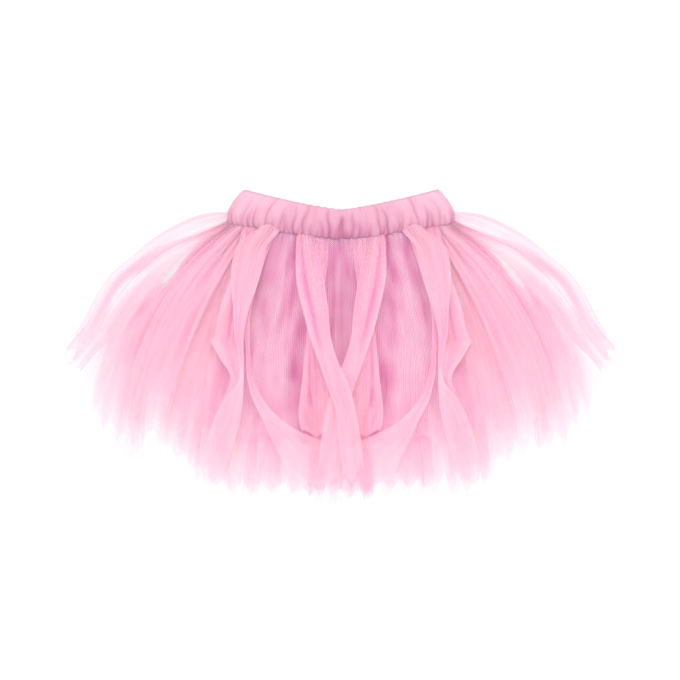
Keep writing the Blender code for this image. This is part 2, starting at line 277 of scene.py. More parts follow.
def tint(add, share, near, far):
    """A colour between two, by a share."""
    node = add("ShaderNodeMix", {"data_type": "RGBA"}, i0=share)
    for socket, colour in ((node.inputs[6], near), (node.inputs[7], far)):
        if isinstance(colour, bpy.types.NodeSocket):
            node.id_data.links.new(colour, socket)
        else:
            socket.default_value = (*colour, 1.0)
    return node.outputs[2]


def net_threads(add, cut, cell):
    """The six-sided net: about -1.5 on a thread and 3 in the middle of a hole."""
    rate = 4 * math.pi / (math.sqrt(3) * cell)
    waves = []
    for turn in (0.0, math.pi / 3, 2 * math.pi / 3):
        direction = (rate * math.cos(turn), rate * math.sin(turn), 0.0)
        dot = add("ShaderNodeVectorMath", {"operation": "DOT_PRODUCT"}, i0=cut, i1=direction)
        waves.append(maths(add, "COSINE", dot.outputs["Value"]))
    return maths(add, "ADD", maths(add, "ADD", waves[0], waves[1]), waves[2])


def streaks(add, cut, fine, long, detail=0.0):
    """Uneven streaks that run down the cloth, from 0 to 1. fine and long are their sizes in metres."""
    sizes = (1 / fine, 1 / long, 1.0)
    stretched = add("ShaderNodeVectorMath", {"operation": "MULTIPLY"}, i0=cut, i1=sizes).outputs[0]
    noise = add("ShaderNodeTexNoise", {"noise_dimensions": "2D"}, Vector=stretched, Scale=1.0, Detail=detail,
                Roughness=0.6)
    return noise.outputs[0]


def band_y(share, up):
    """The height up the table of a place of the casing."""
    return mix(seam_y(SEAM_HALF_WIDTH * share), top_y(TOP_HALF_WIDTH * share), up)


def band_grooves(share, up):
    """How deep the front's creases are at each place."""
    place = SEAM_HALF_WIDTH * share
    groove = 0 * up
    for out, rise, deep, wide in BAND_CREASES:
        for side in (-1, 1):
            lean = CREASE_LEAN * math.sin(out * 1.7 + side) * up + CREASE_SWAY * np.sin(9 * up + out)
            fade = np.clip(1 - up / rise, 0, 1) ** 0.7
            groove = groove + deep * fade * np.exp(-np.abs(place - side * out - lean) / wide)
    return np.minimum(groove, CREASE_DEEPEST)


def band_outside(share, level, up, groove):
    """The casing's outside. level is 1 on the front, -1 on the back and in between round the folded ends."""
    half, front_depth, back_depth = table_curve(BAND_SECTIONS, up)
    soft = ripple(11, share, up, (20, 48), 0.3) * BAND_WRINKLE * (1 - 0.7 * up)
    soft = soft + ripple(12, share, up, (6, 12), 0.4) * BAND_UNEVEN
    front_face = np.clip(level, 0, 1)
    thick = BAND_SLIT / 2 + mix(back_depth, front_depth + soft + BAND_SWELL - groove, front_face)
    back_gathers = BACK_GATHER * (1 + ripple(13, share, up, (10, 20), 0.2)) * np.clip(-level, 0, 1)
    by_seam = np.clip(1 - up / SCALLOP_UP, 0, 1) ** 1.3
    scallop = BAND_SCALLOP * (0.55 - 0.5 * groove) * by_seam * front_face
    by_top = np.clip((up - 0.8) / 0.2, 0, 1)
    edge_wave = TOP_EDGE_WAVE * ripple(14, share, 0 * up, (7, 16)) * by_top
    return np.stack([
        half * share,
        band_y(share, up) - scallop + edge_wave,
        BAND_MIDDLE_Z + level * (thick - back_gathers),
    ], axis=-1)


def band_inside(share, level):
    """The smooth inside of the slit, from the top edge down to the seam."""
    heights = [row[0] for row in BAND_SECTIONS]
    widths = [row[1] for row in BAND_SECTIONS]
    inside = []
    for height in BAND_INSIDE_ROWS:
        inside.append(np.stack([
            (np.interp(height, heights, widths) - BAND_WALL) * share,
            band_y(share, height * 0.985 + 0.005),
            BAND_MIDDLE_Z + BAND_SLIT / 2 * level,
        ], axis=-1))
    return np.array(inside)


def band_cut(points):
    """The place of each point on the flat cloth, in metres, with one more column where the ring closes."""
    step = np.linalg.norm(np.diff(points, axis=0, append=points[-1:]), axis=-1).mean(axis=1)
    down = np.concatenate([[0.0], np.cumsum(step)[:-1]])
    ring = points[len(BAND_ROWS) // 2]
    width = np.linalg.norm(np.diff(ring, axis=0, append=ring[:1]), axis=-1)
    along = np.concatenate([[0.0], np.cumsum(width)])
    return np.stack(np.meshgrid(along, down), axis=-1) * MM


def add_waistband():
    fold = np.linspace(0.0, math.pi, BAND_FOLD_COLUMNS + 2)[1:-1]
    front = np.linspace(-BAND_FOLD_SHARE, BAND_FOLD_SHARE, BAND_FRONT_COLUMNS + 1)
    back = np.linspace(BAND_FOLD_SHARE, -BAND_FOLD_SHARE, BAND_BACK_COLUMNS + 1)
    end = mix(BAND_FOLD_SHARE, 1.0, np.sin(fold))
    share = np.concatenate([front, end, back, -end])
    level = np.concatenate([np.ones_like(front), np.cos(fold), -np.ones_like(back), -np.cos(fold)])
    inside = band_inside(share, level)
    up = BAND_ROWS[:, None] + 0 * share[None, :]
    share, level = share[None, :] + 0 * up, level[None, :] + 0 * up
    groove = band_grooves(share, up)
    points = np.concatenate([band_outside(share, level, up, groove), inside], axis=0)

    # its colour is darker in the creases, by the seam and round the folded ends, which is painted shade, and
    # deeper towards the middle
    front_face = np.clip(level, 0, 1)
    middle = 1 - np.abs(share) ** 1.5
    lower = 0.12 * (1 - up) * front_face + 0.25 * np.clip((np.abs(share) - 0.93) / 0.035, 0, 1)
    crease = np.full(points.shape[:2], 0.5)
    crease[: len(BAND_ROWS)] = np.clip(groove / 2.1 + 0.38 * middle * front_face + lower, 0, 1)
    # rim marks the top edge for a painted shade line
    rim = np.ones(points.shape[:2])
    rim[: len(BAND_ROWS)] = np.clip((up - 0.945) / 0.03, 0, 1)
    values = {"crease": crease, "rim": rim}
    return cloth_object("gathered_waistband", points, band_cut(points), values, around=True)


def written_on(add, label):
    """A value that is written on the mesh, by its name."""
    settings = {"attribute_name": label, "attribute_type": "GEOMETRY"}
    return add("ShaderNodeAttribute", settings).outputs["Fac"]


def band_finish():
    """Tulle in several layers: opaque, with a faint net, painted shade in the creases, by the seam and round
    the folded ends, deeper towards the middle, and a greyer top edge that is a painted shade line.
    """
    finish, add = node_kit("gathered_band_tulle")
    cut = add("ShaderNodeUVMap", {"uv_map": "cut"}).outputs[0]
    crease = written_on(add, "crease")
    rim = written_on(add, "rim")
    threads = net_threads(add, cut, BAND_CELL)
    fine = streaks(add, cut, *BAND_FINE_STREAKS, 1.0)
    broad = streaks(add, cut, *BAND_BROAD_STREAKS, 1.0)
    # painted shade in the creases, by the seam and round the folded ends, the deeper middle and random streaks
    # deepen the colour
    deep = maths(add, "ADD", maths(add, "MULTIPLY", crease, 0.85), maths(add, "MULTIPLY", broad, 0.30))
    deep = maths(add, "ADD", deep, maths(add, "MULTIPLY", fine, 0.25))
    deep = maths(add, "SUBTRACT", deep, 0.22, clamp=True)
    colour = tint(add, deep, BAND_LIGHT, BAND_DEEP)
    settings = {"interpolation_type": "SMOOTHSTEP"}
    net = add("ShaderNodeMapRange", settings, i0=threads, i1=-1.2, i2=0.6, i3=0.0, i4=0.10).outputs[0]
    colour = tint(add, net, colour, BAND_DEEP)
    # a greyer line along the top edge: painted shade
    colour = tint(add, maths(add, "MULTIPLY", rim, 0.7), colour, BAND_TOP_EDGE_SHADE)
    relief = maths(add, "ADD", fine, maths(add, "MULTIPLY", threads, -0.06))
    bump = add("ShaderNodeBump", None, Strength=0.4, Distance=0.0005, Height=relief).outputs[0]
    shader = add("ShaderNodeBsdfPrincipled", None, Base_Color=colour, Roughness=0.62, Sheen_Weight=0.15,
                 Sheen_Roughness=0.45, Specular_IOR_Level=0.2, Normal=bump)
    add("ShaderNodeOutputMaterial", None, Surface=shader.outputs[0])
    return finish


waistband = add_waistband()
waistband.data.materials.append(band_finish())
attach(waistband, "root")
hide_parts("waistband")

# ================================================================ back strips
# The lowest round of loose strips, on which the skirt lies. Each is a length of fine net folded in two
# lengthwise, gathered into the waist seam at one end and cut to uneven points at the other.
REACH = 255.0
PEAK_AT = 0.42
HEM_SHARE = 0.5
RUFFLE_PIVOT_Y = 200.0
RUFFLES_PER_RADIAN = 8.6
RUFFLE_GROWTH = 1.5
SEAM_GAP = 0.5
CLOTH = 1.0
STRIP_FAN = 0.86
STRIP_GAP = 0.012
# Each layer's underside at the waist seam and at the fullest part of the pile, the height of its ruffles, and
# how far round they are shifted, in radians of one ruffle.
LAYERS = {
    #               seam   full   ruffle  shift
    "floor":       (0.0,   0.0,   0.0,    0.0),
    "back_panel":  (1.5,   3.4,   0.9,    0.0),
    "under_low":   (3.0,   9.4,   1.6,    0.4),
    "under_high":  (3.0,  15.4,   1.6,    0.8),
    "front_panel": (4.5,  21.6,   1.7,    1.2),
    "side_low":    (6.0,  27.6,   1.6,    1.6),
    "side_high":   (6.0,  33.2,   1.5,    2.0),
    "front_low":   (7.5,  38.8,   1.3,    2.4),
    "front_high":  (9.0,  44.0,   1.2,    2.8),
}
# Lines of the fan, from the middle (0) to the side (1): where each is sewn on, as a share of the seam, how it
# leaves the seam, in degrees from straight down, and where it meets the hem.
FAN = [
    # line   sewn on  leaves   hem x    hem y
    (0.00,   0.00,     0.0,     0.0,  -150.0),
    (0.20,   0.36,     6.0,    62.0,  -144.0),
    (0.40,   0.64,    16.0,   124.0,  -139.0),
    (0.55,   0.78,    34.0,   168.0,  -110.0),
    (0.70,   0.87,    54.0,   213.0,   -80.0),
    (0.82,   0.93,    68.0,   243.0,   -52.0),
    (0.92,   0.97,    80.0,   262.0,   -16.0),
    (1.00,   1.00,    88.0,   270.0,    10.0),
]
FAN_BEND = 0.5
END_SHARE = 0.93
END_HEIGHT = 12.0
END_BULGE = 1.6
TUCK = 1.6  # how far the cloth runs in under the waistband
TUCKED = 0.02  # the share of a strip that does
SEAM_PUFF = 0.05  # the share of a strip that may stand up over the waistband
STRIP_LENGTH = 250.0
ROWS_CLOSER = 1.1  # brings the rows of a strip a little closer together by the seam
FOLD_ZONE = 0.1  # the share of a ply's half width where its cut end runs into the next one's
GATHER_DRIFT = 0.4  # how far gathers and folds wander sideways, as shares of their own width
FOLD_DRIFT = 0.3
EDGE_WANDER = 0.02
PLY_INSET = 0.035  # how much narrower the last ply is than the first, on each side
PAST_EDGE = 0.03  # how far the folds may lie past the edges of a strip's plan, as a share of its width
FOLD_LIMIT = 1.8  # the height of the broad folds, at most
CURL_FROM = 0.62  # the share of a strip from which its end curls
EDGE_DROOP = 0.6
LOWEST = 0.15
RIM = 0.02  # how wide the cut edges look, as a share of a ply's width
NARROW_STREAKS = (0.0028, 0.09)  # in metres
LIGHT_THROUGH = 0.4  # the share of the light that the threads let through
THIN_ZONE = 0.035  # how wide the step is from thick net to thin, in lines of the fan
# How far out the thick of the net reaches, as a line of the fan, and the share of it that is left beyond.
THICK_NET = [
    # down   line    beyond
    (0.00,   0.745,  0.20),
    (0.16,   0.755,  0.05),
    (0.24,   0.748,  0.02),
    (0.36,   0.725,  0.02),
    (0.45,   0.730,  0.03),
    (0.55,   0.760,  0.07),
    (0.65,   0.800,  0.12),
    (0.78,   0.835,  0.18),
    (1.00,   0.840,  0.25),
]
# How a strip's net changes from the seam to the hem: the height of its fine gathers and broad folds, as
# shares of their widths, and how far both lie over sideways.
STRIP_FALL = [
    # down   gather  fold   over
    (0.00,   0.08,   0.00,  0.12),
    (0.06,   0.09,   0.02,  0.12),
    (0.18,   0.06,   0.05,  0.09),
    (0.40,   0.03,   0.07,  0.07),
    (0.70,   0.02,   0.07,  0.05),
    (1.00,   0.01,   0.06,  0.03),
]


def seam_point(share):
    """A place where cloth is sewn on, from -1 to 1: along the band's lower edge, then up its end."""
    side, share = np.sign(share), np.abs(share)
    corner = SEAM_HALF_WIDTH + END_BULGE
    x = corner * np.minimum(1.0, share / END_SHARE)
    up = np.maximum(0.0, share - END_SHARE) / (1 - END_SHARE)
    return side * x, seam_y(x) - SEAM_GAP + END_HEIGHT * up


def fan_point(line, along):
    """A point of the fan, at a share of a line's length. Lines run from -1 at the left to 1 at the right."""
    side = np.where(line < 0, -1.0, 1.0)
    sewn, leaves, hx, hy = table_curve(FAN, np.abs(line))
    sx, sy = seam_point(sewn)
    bend = FAN_BEND * np.hypot(hx - sx, hy - sy)
    cx = sx + bend * np.sin(np.radians(leaves))
    cy = sy - bend * np.cos(np.radians(leaves))
    x = (1 - along) ** 2 * sx + 2 * along * (1 - along) * cx + along**2 * hx
    y = (1 - along) ** 2 * sy + 2 * along * (1 - along) * cy + along**2 * hy
    return side * x, y


SEAM_LINE = np.stack(seam_point(np.linspace(-1, 1, 81)), axis=-1)


def reach_of(x, y):
    """How far points lie from the waist seam, as a share of REACH."""
    nearest = np.full(np.shape(x), 2.0 * REACH)
    for (ax, ay), (bx, by) in zip(SEAM_LINE, SEAM_LINE[1:]):
        dx, dy = bx - ax, by - ay
        t = np.clip(((x - ax) * dx + (y - ay) * dy) / (dx * dx + dy * dy), 0, 1)
        nearest = np.minimum(nearest, np.hypot(x - ax - t * dx, y - ay - t * dy))
    return nearest / REACH


def puff(share):
    """Height of the springy pile at this share of the reach, from 0 at the seam to 1 at its fullest."""
    rising = 1 - (1 - share / PEAK_AT) ** 2
    falling = 1 - (1 - HEM_SHARE) * ((share - PEAK_AT) / (1 - PEAK_AT)) ** 2
    return np.where(share < PEAK_AT, rising, falling)


def layer_height(layer, x, y):
    """Height of a layer's underside at points of the layout, ruffles included."""
    seam, full, ruffle, shift = LAYERS[layer]
    share = reach_of(x, y)
    turn = np.arctan2(x, RUFFLE_PIVOT_Y - y) * 2 * math.pi * RUFFLES_PER_RADIAN
    grown = np.minimum(1.0, share / PEAK_AT) ** RUFFLE_GROWTH
    return seam + (full - seam) * puff(share) + ruffle * grown * np.cos(turn + shift)


def jagged(rng, tips, depth):
    """A cut end with uneven points: how much shorter than its longest it is, at places across it."""
    places = np.linspace(0, 1, 2 * tips + 1)
    places[1:-1] += rng.uniform(-0.32, 0.32, 2 * tips - 1) / (2 * tips)
    notch = np.arange(2 * tips + 1) % 2 == 0
    notches, points = rng.uniform(0.6, 1.0, len(places)), rng.uniform(0.0, 0.45, len(places))
    short = depth * np.where(notch, notches, points)
    return lambda across: np.interp(across, places, short)


def ply_place(w, plies):
    """Which ply each place across the cloth, w, is on, and where it lies across the strip, from 0 to 1. The
    cloth runs to and fro, and w counts its plies."""
    ply = np.minimum(np.floor(w), plies - 1)
    return ply, np.where(ply % 2 == 0, w - ply, 1 - (w - ply))


def ply_ends(rng, w, plies, tips, depth):
    """How much shorter than its longest the cloth is across its plies, each cut to its own points."""
    ply, u = ply_place(w, plies)
    short = 0 * w
    for n in range(plies):
        end = jagged(rng, tips, depth)
        short = np.where(ply == n, end(u) + rng.uniform(0, 0.5) * depth, short)
    # neighbouring plies meet in the fold, so the step between their ends is spread over it
    near_fold = np.clip((np.abs((w % 1.0) - 0.5) * 2 - (1 - FOLD_ZONE)) / FOLD_ZONE, 0, 1)
    fold_short = np.interp(w, np.arange(plies + 1), rng.uniform(0.5, 1.0, plies + 1) * depth)
    return mix(short, fold_short, near_fold)


def marks(rows, u, v):
    """Soft marks placed down a strip. Each has its place across it, how far it drifts, where it
    starts and stops, how much it does and how wide it is."""
    found = 0 * u * v
    for place, drift, start, stop, much, wide in rows:
        reach = np.clip((v - start) / (stop - start), 0, 1)
        if start <= 0:
            run = np.cos(0.5 * math.pi * reach)
        elif stop >= 1:
            run = np.sin(0.5 * math.pi * reach)
        else:
            run = np.sin(math.pi * reach)
        beside = (u - place - drift * reach) / wide
        found = found + much * np.clip(run, 0, 1) ** 0.8 * np.exp(-(beside**2))
    return found


def strip_net(name, plan, layer, seed, columns, rows, longest, tips, depth, fade, fall=STRIP_FALL, plies=2,
              folds=2.5, gathers=5, gap=1.2, curl=0.0, width=55.0, tone=0.0, sheer=1.0, thin=None, creases=(),
              gaps=(), strong=1.0, lift=0.0, edge=0.2, gather_shade=0.36, puffed=0.0, flip=False):
    """A strip of net folded lengthwise to a number of plies. plan(u, v) gives its plan, across and down, and
    the plies share its folds but are cut to different points. width is one ply's, cut flat. Each of the
    creases is a trough, or a ridge where its depth is negative, with painted shade in the trough and a painted
    highlight on the ridge, and the net is thin in the gaps. edge is how much deeper the folded edges look, and
    where it is negative how much lighter, a painted highlight; pleated is how much painted shade lies in the
    troughs of the gathers at the seam, painted light where negative; and puffed how far the strip stands up
    over it."""
    w = np.linspace(0, plies, plies * columns + 1)[None, :]
    v = np.linspace(0, 1, rows + 1)[:, None] ** ROWS_CLOSER
    ply, u = ply_place(w, plies)
    along = v * (longest - ply_ends(np.random.default_rng(seed), w, plies, tips, depth))
    left_x, left_y = plan(0 * v, v)
    right_x, right_y = plan(0 * v + 1, v)
    across = np.hypot(right_x - left_x, right_y - left_y)

    # fine gathers by the seam and broad folds below them, which wander and lie over sideways
    gather, fold, over = table_curve(fall, v + 0 * w)
    fine_turn = 2 * math.pi * (gathers * u + GATHER_DRIFT * ripple(seed + 1, u, v, (0.6, 2.4), 0.2))
    turn = 2 * math.pi * (folds * u + FOLD_DRIFT * ripple(seed + 2, u, v, (0.6, 2.4), 0.6))
    strength = strong * np.clip(0.75 + 0.45 * ripple(seed + 3, u, v, (0.8, 3.0), 0.6), 0.15, 1.4)
    sideways = -over * strength / folds * np.sin(2 * turn) * np.clip(v / 0.2, 0, 1)
    sideways = sideways - over / gathers * np.sin(2 * fine_turn) * np.clip(1 - v / 0.5, 0, 1)
    sideways = sideways + EDGE_WANDER * v * ripple(seed + 4, u, v, (0.5, 1.5), 1.2)
    outwards = np.where(u > 0.5, 1, -1) * np.abs(2 * u - 1)
    inset = PLY_INSET * (ply / max(1, plies - 1)) * outwards
    x, y = plan(np.clip(u + sideways, -PAST_EDGE, 1 + PAST_EDGE) - inset, along)

    # its height: the layer below, the plies on each other, the folds, the creases and the curled end
    base = layer_height(layer, x, y) + CLOTH / 2
    stack = (0.5 - w / plies) * gap * np.minimum(1, 0.25 + 2.2 * v)
    room = np.minimum(1.0, 0.45 + LAYERS[layer][1] / 14)
    rise = gather * np.sin(fine_turn) * across / gathers
    rise = room * (rise + np.minimum(fold * across / folds, FOLD_LIMIT) * strength * np.sin(turn))
    groove = marks(creases, u, v)
    curled = np.clip((v - CURL_FROM) / (1 - CURL_FROM), 0, 1) ** 2
    ends = curl * curled * ripple(seed + 5, u, v, (0.7, 2.2), 0.4)
    rolled = lift * np.clip(1 - v / 0.06, 0, 1) - EDGE_DROOP * (2 * u - 1) ** 4 * np.sin(math.pi * v)
    z = np.maximum(base + stack + rise - groove + ends + rolled, LOWEST)

    # the end that is sewn on runs in under the waistband, or stands up over it
    tucked = TUCK * np.clip(1 - v / TUCKED, 0, 1)
    over_seam = puffed * np.sin(math.pi * u) * np.clip(1 - v / SEAM_PUFF, 0, 1)
    inwards = 1 - tucked / SEAM_HALF_WIDTH
    points = np.stack([x * inwards, y + tucked + over_seam, z + 0.6 * over_seam], axis=-1)
    cut = np.stack([w * width + 0 * v, along * STRIP_LENGTH], axis=-1) * MM

    # how close the net lies, which is closest where it is gathered, and how deep its colour is: a given tone,
    # random tone, painted shade in the creases and in the gathers by the seam, painted highlights on the
    # ridges, deeper edges or a painted highlight on them, and lighter towards the hem
    # the edges of the cloth, whose colour is deeper, or lighter as a painted highlight where edge is negative
    rim = (w < RIM) | (w > plies - RIM)
    crowded = np.clip(width / across, 0.6, 3.5) ** 0.8
    together = sheer * crowded * (1 - fade * np.clip((v - 0.6) / 0.4, 0, 1) ** 2)
    together = together * np.clip(1 - marks(gaps, u, v), 0.03, 1)
    if thin:
        together = together * thin(u, v)
    # tones: a given tone, random tone, painted shade in the troughs and a painted highlight on the ridges, and
    # the edges deeper, or lighter as a painted highlight where edge is negative
    tones = tone + 0.35 * ripple(seed + 6, u, v, (0.6, 2.0), 0.5) + 0.8 * groove + edge * rim
    # painted shade in the troughs of the gathers by the seam, or painted light where its amount is negative;
    # lighter towards the hem
    by_seam = np.exp(-v / 0.03) * (1 - np.sin(fine_turn))
    tones = tones - 0.5 * np.clip((v - 0.4) / 0.5, 0, 1) + gather_shade * by_seam
    thicker = (1 + (0.5 + max(0.0, edge)) * rim) * (1 + 0.2 * np.clip(groove, 0, 2))
    values = {"together": together * thicker, "tone": tones}
    if flip:
        points, cut = points[:, ::-1], cut[:, ::-1]
        values = {label: value[:, ::-1] for label, value in values.items()}
    return cloth_object(name, points, cut, values)


def net_finish(name, light, deep, hole=0.12, thread=0.72, cell=0.0009, uneven=(0.016, 0.16), patchy=0.8,
               mottle=0.5, streaky=0.4):
    """Soft nylon net: threads round small six-sided holes, a little thicker in some streaks than in others.
    hole and thread are how much each covers, patchy is how uneven its thickness is, and mottle and streaky how
    uneven its colour is, in broad and in narrow streaks."""
    finish, add = node_kit(name)
    cut = add("ShaderNodeUVMap", {"uv_map": "cut"}).outputs[0]
    together = written_on(add, "together")
    tone = written_on(add, "tone")
    threads = net_threads(add, cut, cell)
    narrow = streaks(add, cut, *NARROW_STREAKS)
    broad = streaks(add, cut, *uneven)
    settings = {"interpolation_type": "SMOOTHSTEP"}
    cover = add("ShaderNodeMapRange", settings, i0=threads, i1=-1.3, i2=0.3, i3=thread, i4=hole).outputs[0]
    thick = maths(add, "ADD", maths(add, "MULTIPLY", narrow, 0.6), maths(add, "MULTIPLY", broad, patchy))
    thick = maths(add, "MAXIMUM", maths(add, "ADD", thick, 0.7 - 0.5 * patchy), 0.06)
    thick = maths(add, "MULTIPLY", together, thick)
    clear = maths(add, "POWER", maths(add, "SUBTRACT", 1.0, cover), thick)
    alpha = maths(add, "SUBTRACT", 1.0, clear, clamp=True)
    # shade deepens the colour where more net lies together, and by the tone on the mesh, which holds painted
    # shade and painted highlights as well as random tone
    shade = maths(add, "ADD", maths(add, "MULTIPLY", together, 0.16), maths(add, "MULTIPLY", tone, 0.5))
    for noise, much in ((broad, mottle), (narrow, streaky)):
        shade = maths(add, "ADD", shade, maths(add, "MULTIPLY", maths(add, "SUBTRACT", noise, 0.5), much))
    shade = maths(add, "MINIMUM", maths(add, "MAXIMUM", shade, 0.0), 1.0)
    colour = tint(add, shade, light, deep)
    relief = maths(add, "MULTIPLY", threads, -0.1)
    bump = add("ShaderNodeBump", None, Strength=0.2, Distance=0.0005, Height=relief).outputs[0]
    front = add("ShaderNodeBsdfPrincipled", None, Base_Color=colour, Roughness=0.6, Sheen_Weight=0.15,
                Sheen_Roughness=0.4, Specular_IOR_Level=0.15, Normal=bump)
    glow = add("ShaderNodeBsdfTranslucent", None, Color=colour)
    cloth = add("ShaderNodeMixShader", None, i0=LIGHT_THROUGH, i1=front.outputs[0], i2=glow.outputs[0])
    clear_part = add("ShaderNodeBsdfTransparent")
    seen = add("ShaderNodeMixShader", None, i0=alpha, i1=clear_part.outputs[0], i2=cloth.outputs[0])
    add("ShaderNodeOutputMaterial", None, Surface=seen.outputs[0])
    return finish


def dress(piece, node, finish):
    """The finish of a piece of cloth, and what it stands for."""
    piece.data.materials.append(finish)
    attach(piece, "root")
    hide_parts(node)


def shares(count, widest, gap):
    """Pairs of fan lines for count pieces side by side, from -widest to widest, with gaps between them."""
    step = 2 * widest / count
    return [(-widest + n * step + gap / 2, -widest + (n + 1) * step - gap / 2) for n in range(count)]


def fanned(at_seam, at_hem):
    """The plan of a strip between two fan lines at the seam and two at the hem, and how far it thins out."""
    def line(u, v):
        down = np.clip(v, 0, 1)
        return mix(mix(at_seam[0], at_hem[0], down), mix(at_seam[1], at_hem[1], down), u)

    def thin(u, v):
        edge, left = table_curve(THICK_NET, v)
        return mix(1.0, left, np.clip((np.abs(line(u, v)) - edge) / THIN_ZONE + 0.5, 0, 1))

    return {"plan": lambda u, v: fan_point(line(u, v), v), "thin": thin}


UNDER_LIGHT = (0.96, 0.475, 0.625)
UNDER_DEEP = (0.82, 0.37, 0.56)
under_net_finish = net_finish("under_net", UNDER_LIGHT, UNDER_DEEP)

BACK_SPREAD = 0.03
# How much longer than the fan each of them is, how thin its end and how close its net.
BACK_ENDS = [
    # longer  fade   close
    (0.18,    0.70,  0.65),
    (0.11,    0.70,  0.70),
    (0.10,    0.70,  0.80),
    (0.06,    0.70,  0.90),
    (0.07,    0.60,  1.00),
    (0.07,    0.70,  0.90),
    (0.10,    0.70,  0.80),
    (0.10,    0.70,  0.70),
    (0.18,    0.70,  0.65),
]
BACK_DEPTH = (0.13, 0.09)  # how deep the points are cut at the sides and in the middle
for n, (near, far) in enumerate(shares(len(BACK_ENDS), STRIP_FAN, STRIP_GAP)):
    longer, fade, close = BACK_ENDS[n]
    piece = strip_net(
        f"back_net_{n + 1:02d}", layer="floor", seed=100 + 10 * n, columns=36, rows=30, longest=1.0 + longer,
        tips=4, depth=BACK_DEPTH[2 < n < 6], fade=fade, sheer=close,
        **fanned((near, far), (near - BACK_SPREAD, far + BACK_SPREAD)))
    dress(piece, f"back_strip_{n + 1:02d}", under_net_finish)

# ================================================================ back panel
# The back base panel: a rectangle of the same net in a deeper pink, gathered to the waist. It lies on the
# back strips, and only its edge and what shows through the net above are seen.
PANEL_FAN = 0.8
PANEL_LENGTH = 0.84
PANEL_FALL = [
    # down   gather  fold   over
    (0.00,   0.04,   0.00,  0.03),
    (0.08,   0.03,   0.03,  0.03),
    (0.25,   0.01,   0.07,  0.03),
    (0.60,   0.01,   0.07,  0.02),
    (1.00,   0.01,   0.06,  0.02),
]
PANEL_LIGHT = (0.88, 0.63, 0.765)
PANEL_DEEP = (0.63, 0.20, 0.42)
panel_net_finish = net_finish("panel_net", PANEL_LIGHT, PANEL_DEEP, hole=0.30, thread=0.85, cell=0.0017,
                              uneven=(0.012, 0.026), mottle=0.8, streaky=0.15)


def panel_net(name, layer, seed, columns, rows, tone, creases=(), lift=0.0):
    """A gathered panel: the same net as the strips, in one wide piece with an uneven cut edge."""
    ends = (-PANEL_FAN, PANEL_FAN)
    return strip_net(
        name, layer=layer, seed=seed, columns=columns, rows=rows, longest=PANEL_LENGTH, tips=16, depth=0.045,
        fade=0.6, fall=PANEL_FALL, plies=1, folds=19, gathers=56, gap=0.0, curl=1.2, width=450.0, tone=tone,
        # negative: painted light in the troughs of the panel's gathers by the seam
        creases=creases, lift=lift, gather_shade=-0.3, **fanned(ends, ends))


back_base = panel_net("back_base_net", "back_panel", 301, 240, 24, 0.5)
dress(back_base, "back_panel", panel_net_finish)

# ================================================================ under strips
# Loose strips between the two base panels, which hold the skirt out. Their points show past the front panel's
# edge.
UNDER_SPREAD = 0.05
# How much longer than the fan each of them is, how thin its end and how close its net.
UNDER_ENDS = [
    # longer  fade   close
    (0.18,    0.75,  0.75),
    (0.05,    0.90,  0.60),
    (0.11,    0.86,  0.70),
    (0.06,    0.80,  0.75),
    (0.04,    0.60,  0.95),
    (0.05,    0.45,  1.00),
    (0.05,    0.60,  0.95),
    (0.06,    0.80,  0.75),
    (0.12,    0.86,  0.70),
    (0.06,    0.90,  0.60),
    (0.18,    0.75,  0.75),
]
UNDER_DEPTH = (0.15, 0.10)  # how deep the points are cut at the sides and in the middle
for n, (near, far) in enumerate(shares(len(UNDER_ENDS), STRIP_FAN, STRIP_GAP)):
    longer, fade, close = UNDER_ENDS[n]
    piece = strip_net(
        f"under_net_{n + 1:02d}", layer=("under_high", "under_low")[n % 2], seed=500 + 10 * n, columns=40,
        rows=40, longest=1.0 + longer, tips=5, depth=UNDER_DEPTH[2 < n < 8], fade=fade, curl=2.2, sheer=close,
        **fanned((near, far), (near - UNDER_SPREAD, far + UNDER_SPREAD)))
    dress(piece, f"under_strip_{n + 1:02d}", under_net_finish)

# ================================================================ front panel
# The front base panel, which shows between the strips as the deepest pink, in soft gathers.
# its creases, with painted shade in the troughs and a painted highlight on the ridges
PANEL_CREASES = [
    # place  drift   from   to     deep  wide
    (0.608, -0.020,  0.35,  1.00,  2.4,  0.030),
    (0.392,  0.020,  0.37,  1.00,  2.4,  0.030),
    (0.645,  0.000,  0.25,  0.90,  -0.5, 0.026),
    (0.355,  0.000,  0.25,  0.90,  -0.5, 0.026),
    (0.690,  0.012,  0.00,  0.45,  1.0,  0.016),
    (0.310, -0.012,  0.00,  0.45,  1.0,  0.016),
    (0.627,  0.000,  0.00,  0.55,  1.5,  0.017),
    (0.373,  0.000,  0.00,  0.55,  1.4,  0.017),
    (0.755,  0.000,  0.08,  0.65,  1.0,  0.013),
    (0.245,  0.000,  0.08,  0.65,  1.0,  0.013),
    (0.500,  0.000,  0.00,  0.85,  0.8,  0.050),
    (0.540,  0.006,  0.00,  0.70,  0.4,  0.022),
    (0.460, -0.006,  0.00,  0.70,  0.4,  0.022),
    (0.772,  0.000,  0.30,  1.00,  0.5,  0.014),
    (0.228,  0.000,  0.30,  1.00,  0.5,  0.014),
    (0.665,  0.004,  0.05,  0.70,  -0.5, 0.012),
    (0.335, -0.004,  0.05,  0.70,  -0.5, 0.012),
]
front_base = panel_net("front_base_net", "front_panel", 401, 440, 44, 0.05, PANEL_CREASES, 3.0)
dress(front_base, "front_panel", panel_net_finish)

# ================================================================ side strips
# Strips over the front panel at each side, which lie across each other in sheer layers.
SIDE_LIGHT = (0.96, 0.633, 0.728)
SIDE_DEEP = (0.78, 0.36, 0.545)
side_net_finish = net_finish("side_net", SIDE_LIGHT, SIDE_DEEP, uneven=(0.006, 0.2), mottle=0.7, streaky=1.1)
